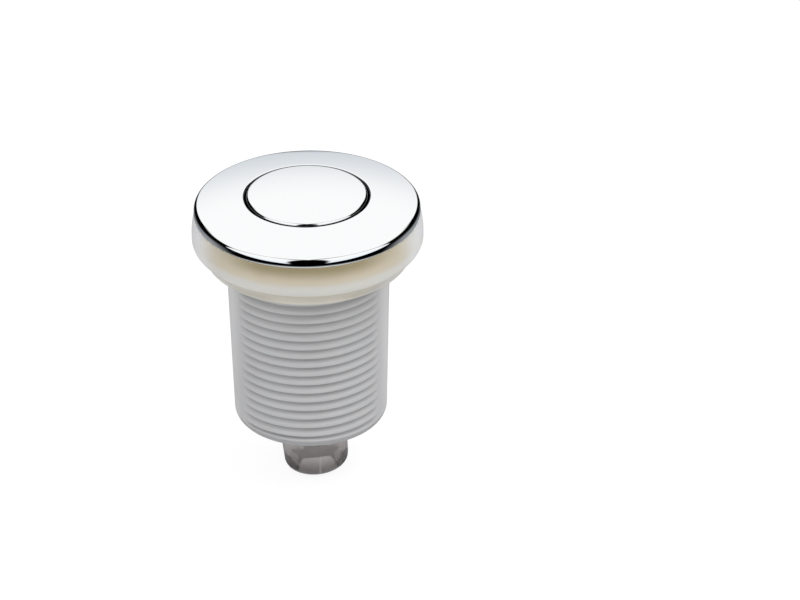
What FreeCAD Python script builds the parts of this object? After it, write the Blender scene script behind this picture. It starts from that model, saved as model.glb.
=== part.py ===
"""Pneumatic push button for a worktop or a bath rim, in millimetres.

The origin is on the axis, in the plane where the gasket meets the panel. +Z points out of the
panel towards the finger. The threaded barrel hangs below, and the hose leaves downwards.
"""

import FreeCAD, Part
import math
import os

import Sketcher
from FreeCAD import Placement, Rotation, Vector

# Driving sizes, in millimetres and degrees

SIZES = {
    # threaded barrel, whose neck gives every other radius
    "neck_radius": 15.95,
    "barrel_length": 35.3,
    "barrel_draft": 1.5,
    "barrel_edge_round": 1.9,
    "barrel_wall": 3.75,
    "thread_pitch": 2.0,
    "thread_depth": 0.62,
    "thread_drop": 1.98,
    "thread_crest": 0.8,
    "thread_root": 0.25,
    "thread_flank": 0.3,
    "thread_overhang": 0.3,
    "strip_angle": 66.0,
    "floor_wall": 3.5,
    "floor_fit": 0.45,
    "head_ledge": 0.85,
    "head_height": 0.9,
    "head_fit": 0.05,
    # soft gasket between the bezel and the panel
    "gasket_fit": 0.15,
    "foot_wall": 4.1,
    "foot_height": 3.1,
    "foot_edge_round": 1.4,
    "flange_step": 2.3,
    "flange_side": 2.4,
    "flange_edge_round": 1.5,
    "flank_rise": 4.1,
    "flank_pull": 0.55,
    # chromed bezel ring
    "bezel_wall": 1.0,
    "bezel_rim_rise": 1.7,
    "bezel_edge_round": 0.9,
    "bezel_hole_round": 0.45,
    "bezel_collar_wall": 0.9,
    "dome_radius": 88.0,
    # chromed push cap
    "cap_gap": 0.3,
    "cap_proud": 0.2,
    "cap_skirt": 3.2,
    "cap_wall": 1.2,
    "cap_crown_wall": 1.6,
    "cap_sleeve_wall": 0.9,
    "cap_overhang": 2.3,
    "cap_edge_round": 0.6,
    "cap_floor_gap": 1.2,
    # plunger and its guide
    "travel": 5.0,
    "running_gap": 0.06,
    "stop_gap": 0.1,
    "stop_height": 2.8,
    "stop_edge": 0.4,
    "stem_wall": 1.9,
    "guide_height": 2.6,
    "guide_fit": 0.03,
    "ring_section": 0.75,
    "ring_squeeze": 0.03,
    # return spring and bellows
    "spring_clearance": 0.4,
    "spring_wire": 1.0,
    "spring_turns": 6.5,
    "bellows_clearance": 0.9,
    "bellows_wall": 0.7,
    "bellows_folds": 6,
    "bellows_end_wall": 1.2,
    "fold_depth": 2.4,
    "neck_wall": 0.95,
    "neck_drop": 1.6,
    "contact_gap": 0.05,
    # seat washer, connector and its seal
    "washer_fit": 0.3,
    "washer_wall": 1.0,
    "hose_bore": 2.6,
    "hose_depth": 7.6,
    "hose_step": 1.2,
    "spigot_wall": 2.0,
    "spigot_height": 6.5,
    "connector_lean": 4.0,
    "connector_wall": 4.2,
    "connector_draft": 2.5,
    "connector_end": 12.3,
    "connector_edge_round": 1.8,
    "connector_neck": 0.3,
    "connector_flange": 2.1,
    "connector_flange_wall": 1.6,
    "mouth_flare": 1.1,
    "mouth_depth": 4.3,
    "mouth_round": 1.0,
    "seal_inset": 1.15,
    "seal_section": 0.55,
}

DOME = "an arc whose centre is on the axis"
LEVEL = "an arc whose centre is level with its first point"
NEAR = 1e-4

# How a sketch numbers its own two axes
ACROSS = -1
UPRIGHT = -2

doc = FreeCAD.newDocument("AirButton")
sheet = doc.addObject("Spreadsheet::Sheet", "Sizes")


class Size:
    """A size that knows its number now and the expression that keeps it tied to the sheet."""

    def __init__(self, text, value):
        self.text = text
        self.value = value

    def joined(self, sign, other, value):
        other_text = other.text if isinstance(other, Size) else repr(other)
        return Size(f"({self.text} {sign} {other_text})", value)

    def __add__(self, other):
        return self.joined("+", other, self.value + number(other))

    def __radd__(self, other):
        return self + other

    def __rsub__(self, other):
        return -self + other

    def __sub__(self, other):
        return self.joined("-", other, self.value - number(other))

    def __mul__(self, other):
        return self.joined("*", other, self.value * number(other))

    def __truediv__(self, other):
        return self.joined("/", other, self.value / number(other))

    def __neg__(self):
        return Size(f"(-1 * {self.text})", -self.value)


def number(size):
    return size.value if isinstance(size, Size) else size


def wrap(name, size, value):
    return Size(f"{name}({size.text})", value)


def root(size):
    return wrap("sqrt", size, size.value**0.5)


def slope(angle):
    """The tangent of an angle that the sheet holds in degrees."""
    return Size(f"tan({angle.text} * 1deg)", math.tan(math.radians(angle.value)))


def fill_sheet():
    """One row for each driving size: its name, then its number under an alias."""
    sizes = {}
    for row, (name, value) in enumerate(SIZES.items(), start=1):
        sheet.set(f"A{row}", name)
        sheet.set(f"B{row}", str(value))
        sheet.setAlias(f"B{row}", name)
        sizes[name] = Size(f"Sizes.{name}", value)
    doc.recompute()
    return sizes


class Named:
    """The sheet's sizes as attributes."""

    def __init__(self, sizes):
        self.__dict__.update(sizes)


s = Named(fill_sheet())


# Sketches, turned bodies and edges


def plane(body, role):
    return next(o for o in body.Origin.OriginFeatures if o.Role == role)


def new_body(label):
    body = doc.addObject("PartDesign::Body", label)
    body.Label = label
    return body


def new_sketch(body, name):
    sketch = body.newObject("Sketcher::SketchObject", name)
    sketch.AttachmentSupport = [(plane(body, "XZ_Plane"), "")]
    sketch.MapMode = "FlatFace"
    return sketch


def tie(sketch, kind, geometry, point, size):
    """Holds one coordinate of a point at a size, counted from the origin."""
    index = sketch.addConstraint(
        Sketcher.Constraint(kind, -1, 1, geometry, point, number(size))
    )
    if isinstance(size, Size):
        sketch.setExpression(f"Constraints[{index}]", size.text)


def hold_point(sketch, geometry, point, radius, level):
    """Holds both coordinates of a point. A zero puts it on the axis, or at level zero."""
    for kind, size, axis in (("DistanceX", radius, UPRIGHT), ("DistanceY", level, ACROSS)):
        if number(size) == 0:
            sketch.addConstraint(
                Sketcher.Constraint("PointOnObject", geometry, point, axis)
            )
        else:
            tie(sketch, kind, geometry, point, size)


def arc_centre(start, end, kind):
    """Where the centre of the arc from start to end lies, as a point in the sketch."""
    middle = (start + end) * 0.5
    along = end - start
    if kind == DOME:
        return Vector(0, middle.y + along.x * middle.x / along.y, 0)
    return Vector(middle.x + along.y * (middle.y - start.y) / along.x, start.y, 0)


def add_edge(sketch, start, end, kind):
    """Adds a line or an arc and returns its index and which of its ends is at start."""
    if kind is None:
        return sketch.addGeometry(Part.LineSegment(start, end)), 1
    centre = arc_centre(start, end, kind)
    circle = Part.Circle(centre, Vector(0, 0, 1), (start - centre).Length)
    from_angle = circle.parameter(start)
    to_angle = circle.parameter(end)
    turns_left = (start - centre).cross(end - centre).z > 0
    if turns_left:
        return sketch.addGeometry(Part.ArcOfCircle(circle, from_angle, to_angle)), 1
    return sketch.addGeometry(Part.ArcOfCircle(circle, to_angle, from_angle)), 2


def draw(sketch, outline):
    """Draws a closed outline. Each entry is a radius, a level and the kind of edge that follows."""
    entries = [(*entry, None)[:3] for entry in outline]
    points = [Vector(number(radius), number(level), 0) for radius, level, _ in entries]
    edges = []
    for index, (radius, level, kind) in enumerate(entries):
        following = (index + 1) % len(entries)
        geometry, first = add_edge(sketch, points[index], points[following], kind)
        hold_point(sketch, geometry, first, radius, level)
        if kind == DOME:
            sketch.addConstraint(Sketcher.Constraint("PointOnObject", geometry, 3, UPRIGHT))
        if kind == LEVEL:
            tie(sketch, "DistanceY", geometry, 3, level)
        edges.append((geometry, first))
    for index, (geometry, first) in enumerate(edges):
        neighbour, start = edges[(index + 1) % len(edges)]
        sketch.addConstraint(
            Sketcher.Constraint("Coincident", geometry, 3 - first, neighbour, start)
        )


def turned_body(label, outline):
    """A body made by turning its outline round the axis."""
    body = new_body(label)
    sketch = new_sketch(body, label + "_profile")
    draw(sketch, outline)
    turned = body.newObject("PartDesign::Revolution", label + "_turned")
    turned.Profile = sketch
    turned.ReferenceAxis = (sketch, ["V_Axis"])
    turned.Angle = 360
    doc.recompute()
    return body


def circles_at(shape, places):
    """Names of the shape's circular edges that have one of these radii and levels."""
    names = []
    for index, edge in enumerate(shape.Edges, start=1):
        if edge.Degenerated or not isinstance(edge.Curve, Part.Circle):
            continue
        radius = edge.Curve.Radius
        level = edge.Curve.Center.z
        for wanted_radius, wanted_level in places:
            near_radius = abs(radius - number(wanted_radius)) < NEAR
            if near_radius and abs(level - number(wanted_level)) < NEAR:
                names.append(f"Edge{index}")
    return names


def round_edges(body, name, radius, *places):
    """Rounds the circular edges that lie at the given radii and levels."""
    base = body.Tip
    found = circles_at(base.Shape, places)
    if len(found) != len(places):
        raise ValueError(f"{name} found {len(found)} of its {len(places)} edges")
    feature = body.newObject("PartDesign::Fillet", name)
    feature.Base = (base, found)
    feature.Radius = number(radius)
    feature.setExpression("Radius", radius.text)
    doc.recompute()


def seal_ring(label, radius, section, level):
    ring = doc.addObject("Part::Torus", label)
    ring.Label = label
    ring.setExpression("Radius1", radius.text)
    ring.setExpression("Radius2", section.text)
    ring.Placement = Placement(Vector(0, 0, level.value), Rotation())
    ring.setExpression("Placement.Base.z", level.text)
    return ring


# Radii that several pieces share, from the barrel's neck outwards and inwards

gasket_bore = s.neck_radius + s.gasket_fit
foot_radius = gasket_bore + s.foot_wall
gasket_radius = foot_radius + s.flange_step
bezel_radius = gasket_radius - s.flank_pull
bezel_inside = bezel_radius - s.bezel_wall
head_radius = bezel_inside - s.head_fit
bore_radius = s.neck_radius - s.barrel_wall
head_bore = bore_radius + s.head_ledge
guide_radius = head_bore - s.guide_fit
collar_radius = head_bore - s.head_fit
bezel_hole = collar_radius - s.bezel_collar_wall
cap_radius = bezel_hole - s.cap_gap
stem_radius = cap_radius - s.cap_overhang
stop_radius = bore_radius - s.running_gap
spring_radius = bore_radius - s.spring_clearance - s.spring_wire / 2
bellows_radius = spring_radius - s.spring_wire / 2 - s.bellows_clearance
bellows_root = bellows_radius - s.fold_depth
air_bore = s.hose_bore - s.hose_step
spigot_radius = air_bore + s.spigot_wall
connector_radius = s.hose_bore + s.connector_wall
shank_radius = connector_radius - s.connector_neck
flange_radius = shank_radius + s.connector_flange
seal_radius = flange_radius - s.seal_inset
floor_hole = shank_radius + s.floor_fit
washer_radius = bore_radius - s.washer_fit
washer_hole = spigot_radius + s.neck_wall + s.washer_fit

# Levels that several pieces share


def dome_drop(radius):
    """How far the domed face has fallen at a radius, from its height on the axis."""
    return s.dome_radius - root(s.dome_radius * s.dome_radius - radius * radius)


flank_foot = s.foot_height + s.flange_side
gasket_top = flank_foot + s.flank_rise
head_top = gasket_top + s.head_height
rim_level = gasket_top + s.bezel_rim_rise
dome_top = rim_level + dome_drop(bezel_radius)
cap_top = dome_top + s.cap_proud
cap_edge_level = cap_top - dome_drop(cap_radius)
cap_rim = cap_edge_level - s.cap_skirt
stem_top = cap_top - s.cap_crown_wall
guide_top = cap_rim - s.travel - s.cap_floor_gap
guide_foot = guide_top - s.guide_height
stop_top = guide_foot - s.stop_gap
plunger_foot = stop_top - s.stop_height
pushed_top = plunger_foot - s.contact_gap
barrel_foot = -s.barrel_length
floor_top = barrel_foot + s.floor_wall
seal_top = floor_top + s.seal_section * 2
flange_top = seal_top + s.connector_flange_wall
washer_foot = flange_top + flange_radius * slope(s.connector_lean)
washer_top = washer_foot + s.washer_wall
connector_foot = barrel_foot - s.connector_end


def make_gasket():
    """Soft ring in two steps: a bulging flange, and a narrower foot that sits on the panel."""
    body = turned_body(
        "panel_gasket",
        [
            (gasket_bore, 0),
            (foot_radius, 0),
            (foot_radius, s.foot_height),
            (gasket_radius, s.foot_height),
            (gasket_radius, flank_foot, LEVEL),
            (bezel_radius, gasket_top),
            (gasket_bore, gasket_top),
        ],
    )
    round_edges(body, "flange_edge", s.flange_edge_round, (gasket_radius, s.foot_height))
    round_edges(body, "foot_edge", s.foot_edge_round, (foot_radius, 0))


def make_bezel():
    """Plated ring: a domed face, a rounded rim and a collar that holds the guide ring down."""
    face_edge = dome_top - dome_drop(bezel_hole)
    body = turned_body(
        "bezel_ring",
        [
            (bezel_radius, gasket_top),
            (bezel_radius, rim_level, DOME),
            (bezel_hole, face_edge),
            (bezel_hole, guide_top),
            (collar_radius, guide_top),
            (collar_radius, dome_top - dome_drop(collar_radius) - s.bezel_wall, DOME),
            (bezel_inside, dome_top - dome_drop(bezel_inside) - s.bezel_wall),
            (bezel_inside, gasket_top),
        ],
    )
    round_edges(body, "bezel_rim", s.bezel_edge_round, (bezel_radius, rim_level))
    round_edges(body, "bezel_lip", s.bezel_hole_round, (bezel_hole, face_edge))


def make_cap():
    """Plated cap: a domed top, an outer skirt and an inner sleeve that grips the stem."""
    skirt_inside = cap_radius - s.cap_wall
    sleeve = stem_radius + s.cap_sleeve_wall
    body = turned_body(
        "push_cap",
        [
            (0, stem_top),
            (stem_radius, stem_top),
            (stem_radius, cap_rim),
            (sleeve, cap_rim),
            (sleeve, stem_top),
            (skirt_inside, stem_top),
            (skirt_inside, cap_rim),
            (cap_radius, cap_rim),
            (cap_radius, cap_edge_level, DOME),
            (0, cap_top),
        ],
    )
    round_edges(body, "cap_edge", s.cap_edge_round, (cap_radius, cap_edge_level))


def make_plunger():
    """Hollow stem under the cap, with a stop flange at its foot and a groove for its ring."""
    groove_root = stem_radius - s.ring_section * 2 + s.ring_squeeze
    groove_middle = guide_foot + s.guide_height / 2
    groove_top = groove_middle + s.ring_section
    groove_foot = groove_middle - s.ring_section
    hollow = stem_radius - s.stem_wall
    body = turned_body(
        "plunger",
        [
            (0, plunger_foot),
            (stop_radius, plunger_foot),
            (stop_radius, stop_top),
            (stem_radius, stop_top),
            (stem_radius, groove_foot),
            (groove_root, groove_foot),
            (groove_root, groove_top),
            (stem_radius, groove_top),
            (stem_radius, stem_top),
            (hollow, stem_top),
            (hollow, stop_top),
            (0, stop_top),
        ],
    )
    round_edges(body, "stop_edge", s.stop_edge, (stop_radius, plunger_foot))
    ring_radius = stem_radius + s.ring_squeeze - s.ring_section
    seal_ring("plunger_seal", ring_radius, s.ring_section, groove_middle)


def make_guide():
    """Ring that guides the stem and stops the plunger from coming out."""
    inside = stem_radius + s.running_gap
    turned_body(
        "guide_ring",
        [
            (inside, guide_foot),
            (guide_radius, guide_foot),
            (guide_radius, guide_top),
            (inside, guide_top),
        ],
    )


def make_barrel():
    """Moulded barrel with a head, a drafted outside, a stepped bore and a floor with a hole."""
    end_radius = s.neck_radius - s.barrel_length * slope(s.barrel_draft)
    body = turned_body(
        "threaded_barrel",
        [
            (floor_hole, barrel_foot),
            (end_radius, barrel_foot),
            (s.neck_radius, 0),
            (s.neck_radius, gasket_top),
            (head_radius, gasket_top),
            (head_radius, head_top),
            (head_bore, head_top),
            (head_bore, guide_foot),
            (bore_radius, guide_foot),
            (bore_radius, floor_top),
            (floor_hole, floor_top),
        ],
    )
    round_edges(body, "barrel_edge", s.barrel_edge_round, (end_radius, barrel_foot))
    cut_thread(body)


def outside_at(level):
    """The barrel's outside radius at a level below the gasket."""
    return s.neck_radius + level * slope(s.barrel_draft)


def cut_thread(body):
    """Right-hand thread: from groove to groove it climbs one pitch in a whole turn.

    Two smooth strips break it, so that each groove is a short stretch of helix on the front
    or on the back. The lowest one ends above the foot's rounding.
    """
    gap = 180 - s.strip_angle
    width = s.thread_pitch - s.thread_crest
    threaded = s.barrel_length - s.barrel_edge_round - s.thread_drop - width
    for turn in range(math.floor(number(threaded / s.thread_pitch)) + 1):
        level = -s.thread_drop - s.thread_pitch * turn
        cut_groove(body, f"front_groove_{turn}", 90 + gap / 2, level - s.thread_pitch * gap / 360)
        if turn > 0:
            level = level + s.thread_pitch * s.strip_angle / 360
            cut_groove(body, f"back_groove_{turn}", 270 + gap / 2, level)


def cut_groove(body, name, swing, level):
    """A groove that starts at a level, swung clockwise from +X, and climbs to the next strip."""
    gap = (180 - s.strip_angle) / 360
    deep = outside_at(level) - s.thread_depth
    proud = outside_at(level) + s.thread_overhang
    sketch = new_sketch(body, f"{name}_section")
    sketch.AttachmentOffset = Placement(Vector(), Rotation(Vector(0, -1, 0), swing.value))
    sketch.setExpression("AttachmentOffset.Rotation.Angle", f"{swing.text} * 1deg")
    draw(
        sketch,
        [
            (deep, level - s.thread_flank - s.thread_root),
            (proud, level - s.thread_pitch + s.thread_crest),
            (proud, level),
            (deep, level - s.thread_flank),
        ],
    )
    cut = body.newObject("PartDesign::SubtractiveHelix", name)
    cut.Profile = sketch
    cut.ReferenceAxis = (sketch, ["V_Axis"])
    cut.Mode = "height-turns-angle"
    cut.Tolerance = NEAR
    for key, size in (("Height", s.thread_pitch * gap), ("Turns", gap), ("Angle", s.barrel_draft)):
        setattr(cut, key, size.value)
        cut.setExpression(key, size.text)


def make_bellows():
    """Folded air chamber: a closed top under the plunger and a neck over the spigot."""
    folds = int(SIZES["bellows_folds"])
    pitch = (pushed_top - washer_top - s.bellows_end_wall * 2) / folds
    chamber_foot = washer_top + s.bellows_end_wall
    chamber_top = pushed_top - s.bellows_end_wall
    outside = []
    inside = []
    for fold in range(folds + 1):
        level = chamber_foot + pitch * fold
        outside.append((bellows_root, level))
        inside.append((bellows_root - s.bellows_wall, level))
        if fold < folds:
            outside.append((bellows_radius, level + pitch / 2))
            inside.append((bellows_radius - s.bellows_wall, level + pitch / 2))
    neck_outside = spigot_radius + s.neck_wall
    neck_foot = washer_top - s.neck_drop
    turned_body(
        "bellows",
        [
            (spigot_radius, neck_foot),
            (neck_outside, neck_foot),
            (neck_outside, washer_top),
            (bellows_root, washer_top),
            *outside,
            (bellows_root, pushed_top),
            (0, pushed_top),
            (0, chamber_top),
            *reversed(inside),
            (spigot_radius, chamber_foot),
        ],
    )


def make_spring():
    """Open coil round the bellows, from the washer to the plunger's stop flange."""
    body = new_body("return_spring")
    sketch = new_sketch(body, "return_spring_wire")
    half_wire = s.spring_wire / 2
    level = washer_top + half_wire
    centre = Vector(spring_radius.value, level.value, 0)
    circle = sketch.addGeometry(
        Part.Circle(centre, Vector(0, 0, 1), half_wire.value)
    )
    hold_point(sketch, circle, 3, spring_radius, level)
    index = sketch.addConstraint(
        Sketcher.Constraint("Radius", circle, half_wire.value)
    )
    sketch.setExpression(f"Constraints[{index}]", half_wire.text)
    coil = body.newObject("PartDesign::AdditiveHelix", "return_spring_coil")
    coil.Profile = sketch
    coil.ReferenceAxis = (sketch, ["V_Axis"])
    coil.Mode = "height-turns-angle"
    height = pushed_top - washer_top - s.spring_wire
    coil.Height = height.value
    coil.Turns = s.spring_turns.value
    coil.setExpression("Height", height.text)
    coil.setExpression("Turns", s.spring_turns.text)
    coil.Angle = 0
    doc.recompute()


def make_washer():
    """Flat seat for the spring and the bellows, on top of the connector's flange."""
    turned_body(
        "seat_washer",
        [
            (washer_hole, washer_foot),
            (washer_radius, washer_foot),
            (washer_radius, washer_top),
            (washer_hole, washer_top),
        ],
    )


def make_connector():
    """Clear outlet: a spigot for the bellows, a flange above the floor and a hose socket."""
    pivot = floor_top - s.floor_wall / 2
    end_radius = connector_radius - s.connector_end * slope(s.connector_draft)
    mouth_radius = s.hose_bore + s.mouth_flare
    mouth_top = connector_foot + s.mouth_depth
    hose_top = mouth_top + s.hose_depth
    spigot_top = flange_top + s.spigot_height
    body = turned_body(
        "hose_connector",
        [
            (mouth_radius, connector_foot - pivot),
            (end_radius, connector_foot - pivot),
            (connector_radius, barrel_foot - pivot - s.seal_section),
            (shank_radius, barrel_foot - pivot - s.seal_section),
            (shank_radius, seal_top - pivot),
            (flange_radius, seal_top - pivot),
            (flange_radius, flange_top - pivot),
            (spigot_radius, flange_top - pivot),
            (spigot_radius, spigot_top - pivot),
            (air_bore, spigot_top - pivot),
            (air_bore, hose_top + s.hose_step - pivot),
            (s.hose_bore, hose_top - pivot),
            (s.hose_bore, mouth_top - pivot),
            (mouth_radius, mouth_top - pivot),
        ],
    )
    round_edges(
        body,
        "connector_edge",
        s.connector_edge_round,
        (end_radius, connector_foot - pivot),
    )
    round_edges(
        body,
        "connector_mouth_edge",
        s.mouth_round,
        (mouth_radius, mouth_top - pivot),
    )
    body.Placement = Placement(
        Vector(0, 0, pivot.value), Rotation(Vector(0, 1, 0), -s.connector_lean.value)
    )
    body.setExpression("Placement.Base.z", pivot.text)
    body.setExpression("Placement.Rotation.Angle", f"-1deg * {s.connector_lean.text}")
    seal_ring(
        "connector_seal", seal_radius, s.seal_section, floor_top + s.seal_section
    )


def broken(item):
    return any(word in item.State for word in ("Invalid", "Error"))


def write_parts():
    """Checks every object, then writes each piece to its own file."""
    doc.recompute()
    failed = [item.Name for item in doc.Objects if broken(item)]
    if failed:
        raise ValueError(f"these objects did not build: {failed}")
    pieces = [
        item
        for item in doc.Objects
        if item.TypeId in ("PartDesign::Body", "Part::Torus")
    ]
    for piece in pieces:
        if piece.Shape.isNull() or not piece.Shape.isValid():
            raise ValueError(f"{piece.Label} is not a sound solid")
    os.makedirs("parts", exist_ok=True)
    for piece in pieces:
        piece.Shape.exportStep(f"parts/{piece.Label}.step")
        print(piece.Label, len(piece.Shape.Solids), round(piece.Shape.Volume, 3))


make_gasket()
make_bezel()
make_cap()
make_plunger()
make_guide()
make_barrel()
make_bellows()
make_spring()
make_washer()
make_connector()
write_parts()
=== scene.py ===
"""Looks of a pneumatic push button: plated bezel and cap, soft gasket, barrel and outlet.

All lengths in the meshes are in metres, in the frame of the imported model. +Z is the barrel's axis,
and -Y is the side that faces the camera.
"""

import math

import bmesh
import bpy
import numpy as np
from bpy.props import FloatProperty, FloatVectorProperty, IntProperty, PointerProperty
from mathutils import Matrix, Vector


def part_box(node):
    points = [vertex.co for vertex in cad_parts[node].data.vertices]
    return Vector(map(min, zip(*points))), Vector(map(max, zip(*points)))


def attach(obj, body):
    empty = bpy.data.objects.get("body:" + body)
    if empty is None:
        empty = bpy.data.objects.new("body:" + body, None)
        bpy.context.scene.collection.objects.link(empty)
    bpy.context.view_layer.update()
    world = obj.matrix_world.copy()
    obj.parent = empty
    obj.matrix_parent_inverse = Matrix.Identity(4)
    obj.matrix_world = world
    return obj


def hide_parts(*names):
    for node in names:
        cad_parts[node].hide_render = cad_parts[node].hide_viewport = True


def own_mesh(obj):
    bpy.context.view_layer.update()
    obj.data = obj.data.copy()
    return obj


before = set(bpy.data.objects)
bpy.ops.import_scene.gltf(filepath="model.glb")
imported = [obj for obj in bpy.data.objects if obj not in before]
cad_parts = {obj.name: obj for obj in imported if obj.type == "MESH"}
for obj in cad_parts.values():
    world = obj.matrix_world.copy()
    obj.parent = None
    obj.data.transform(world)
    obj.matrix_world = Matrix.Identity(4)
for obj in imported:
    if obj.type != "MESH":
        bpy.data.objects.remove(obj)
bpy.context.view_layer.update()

bl_info = {
    "name": "Air Push Button",
    "version": (1, 0, 0),
    "blender": (4, 5, 0),
    "location": "View3D > Sidebar > Push Button",
    "description": "Builds the looks of a pneumatic push button on its packed frame",
    "category": "Object",
}

MM = 0.001
# The direction, round the axis, of the side that faces the camera
FRONT = -math.pi / 2
# Barrel: inner radii, floor, and the level of the first crest's lower edge at the front
BORE = 12.2 * MM
HEAD_BORE = 13.05 * MM
FLOOR = 3.5 * MM
FLOOR_HOLE = 6.95 * MM
THREAD_START = -2.3 * MM
THREAD_EASE = 2.2 * MM
# Where the barrel's rows of points lie in one turn of the thread, in shares of the pitch
THREAD_ROWS = (
    (0.0, 0.012, 0.03, 0.055, 0.10, 0.15, 0.20, 0.25, 0.31, 0.37)
    + (0.43, 0.49, 0.56, 0.63, 0.70, 0.78, 0.86, 0.94, 0.985)
)
# Bezel and cap
STAND_OUT = 0.2 * MM
CAP_GAP = 0.3 * MM
COLLAR = 0.9 * MM
CAP_PLATE = 1.6 * MM
CAP_STEM = 9.5 * MM
CAP_SLEEVE = 10.4 * MM
CAP_SKIRT = 1.2 * MM
# How far the bezel's lip lies below the cap's top
LIP_DROP = 1.05 * MM
# Gasket, and the bellows' neck over the spigot
GASKET_BORE = 16.1 * MM
SPIGOT = 3.4 * MM
NECK_WALL = 0.95 * MM
# Seam of the outlet, to the right of its middle
SEAM = 1.6 * MM
# Camera: the height it looks at, its shift in shares of the picture's width, and its roll
LOOKED_AT = -16.95 * MM
SHIFT = (0.1131, 0.0369)
ROLL = math.radians(-1.16)


def top_of(node):
    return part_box(node)[1]


def foot_of(node):
    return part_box(node)[0]


# Sizes and colours


def length(name, default, description):
    return FloatProperty(
        name=name, default=default, description=description, unit="LENGTH", min=0.0
    )


def angle(name, degrees, description):
    return FloatProperty(
        name=name,
        default=math.radians(degrees),
        description=description,
        unit="ROTATION",
        subtype="ANGLE",
    )


def colour(name, default, description):
    return FloatVectorProperty(
        name=name,
        default=default,
        description=description,
        subtype="COLOR",
        size=3,
        min=0.0,
        max=1.0,
    )


def share(name, default, description):
    return FloatProperty(
        name=name, default=default, description=description, min=0.0, max=1.0
    )


class BarrelSizes(bpy.types.PropertyGroup):
    neck: length("Neck radius", 15.95 * MM, "Radius over the crests at the gasket")
    foot: length("Foot radius", 15.026 * MM, "Radius over the crests at the foot")
    foot_round: length("Foot rounding", 1.9 * MM, "Rounding of the lower edge")
    pitch: length("Thread pitch", 2.0 * MM, "Height of one turn of the thread")
    depth: length("Thread depth", 0.62 * MM, "Depth of the grooves")
    strip: angle("Strip", 33.0, "Half the angle of each smooth strip")
    fade: angle("Run-out", 5.0, "Angle over which a groove fades into the strip")
    plastic: colour("Plastic", (0.62, 0.62, 0.63), "Colour of the white plastic")


class BezelSizes(bpy.types.PropertyGroup):
    dome: length("Dome radius", 88.0 * MM, "Radius of the domed face")
    wall: length("Wall", 1.0 * MM, "Thickness of the plated ring")
    rim_round: length("Rim rounding", 0.9 * MM, "Rounding of the outer rim")
    lip_round: length("Lip rounding", 0.45 * MM, "Rounding of the lip round the cap")
    cap_round: length("Cap rounding", 0.6 * MM, "Rounding of the cap's edge")
    plating: colour("Plating", (0.955, 0.965, 0.97), "Colour of the plating")
    blur: share("Blur", 0.035, "Roughness of the plating")


class GasketSizes(bpy.types.PropertyGroup):
    foot_radius: length("Foot radius", 20.2 * MM, "Radius of the narrow step")
    foot_height: length("Foot height", 3.1 * MM, "Height of the narrow step")
    foot_round: length("Foot rounding", 1.4 * MM, "Rounding under the narrow step")
    flange_round: length("Flange rounding", 1.5 * MM, "Rounding under the wide step")
    flange_side: length("Flange side", 2.4 * MM, "Height of the upright side")
    cream: colour("Cream", (0.74, 0.73, 0.69), "Colour of the soft ring")
    # Painted warm shade a little way below the plated rim, in the crease and on the front of the
    # foot
    warm_shade: colour("Amber", (0.70, 0.63, 0.50), "Colour a little way below the plated rim")
    shade: colour("Shade", (0.38, 0.32, 0.19), "Colour under the plated rim")


class OutletSizes(bpy.types.PropertyGroup):
    tint: colour("Tint", (0.62, 0.585, 0.575), "Colour of the smoky plastic at its top")
    deep: colour("Deep tint", (0.18, 0.165, 0.165), "Colour of the smoky plastic at its foot")
    bend: FloatProperty(
        name="Refraction",
        default=1.25,
        min=1.0,
        max=2.0,
        description="Refractive index of the smoky plastic",
    )


class ChamberSizes(bpy.types.PropertyGroup):
    wire: length("Wire", 1.0 * MM, "Thickness of the spring's wire")
    turns: FloatProperty(
        name="Turns", default=6.5, min=1.0, description="Turns of the spring"
    )
    folds: IntProperty(name="Folds", default=6, min=1, description="Folds of the bellows")
    fold_depth: length("Fold depth", 2.4 * MM, "Depth of the bellows' folds")
    wall: length("Wall", 0.7 * MM, "Thickness of the bellows' wall")
    end_wall: length("End wall", 1.2 * MM, "Thickness of the bellows' two ends")
    clear: colour("Clear", (0.86, 0.87, 0.87), "Colour of the soft clear plastic")


class StageSizes(bpy.types.PropertyGroup):
    distance: length("Camera distance", 0.8846, "From the barrel's middle")
    elevation: angle("Camera elevation", 30.87, "Above the horizon")
    lens: FloatProperty(
        name="Lens",
        default=202.5,
        min=10.0,
        description="Focal length of the camera, in millimetres",
    )
    lamp: FloatProperty(
        name="Lamp power", default=2.6, min=0.0, description="Watts of the soft lamp"
    )
    fill: FloatProperty(
        name="Fill", default=0.62, min=0.0, description="Strength of the even light"
    )


class ButtonSizes(bpy.types.PropertyGroup):
    around: IntProperty(
        name="Steps round", default=256, min=24, description="Steps round the axis"
    )
    barrel: PointerProperty(type=BarrelSizes)
    bezel: PointerProperty(type=BezelSizes)
    gasket: PointerProperty(type=GasketSizes)
    outlet: PointerProperty(type=OutletSizes)
    chamber: PointerProperty(type=ChamberSizes)
    stage: PointerProperty(type=StageSizes)


def sizes():
    return bpy.context.scene.push_button


# Outlines


def arc(centre, radius, start, end, steps=10):
    """Points on a circle in the outline's plane, from one angle to another in even steps."""
    turn = np.linspace(start, end, steps)
    return np.stack(
        [centre[0] + radius * np.cos(turn), centre[1] + radius * np.sin(turn)], axis=1
    )


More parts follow.
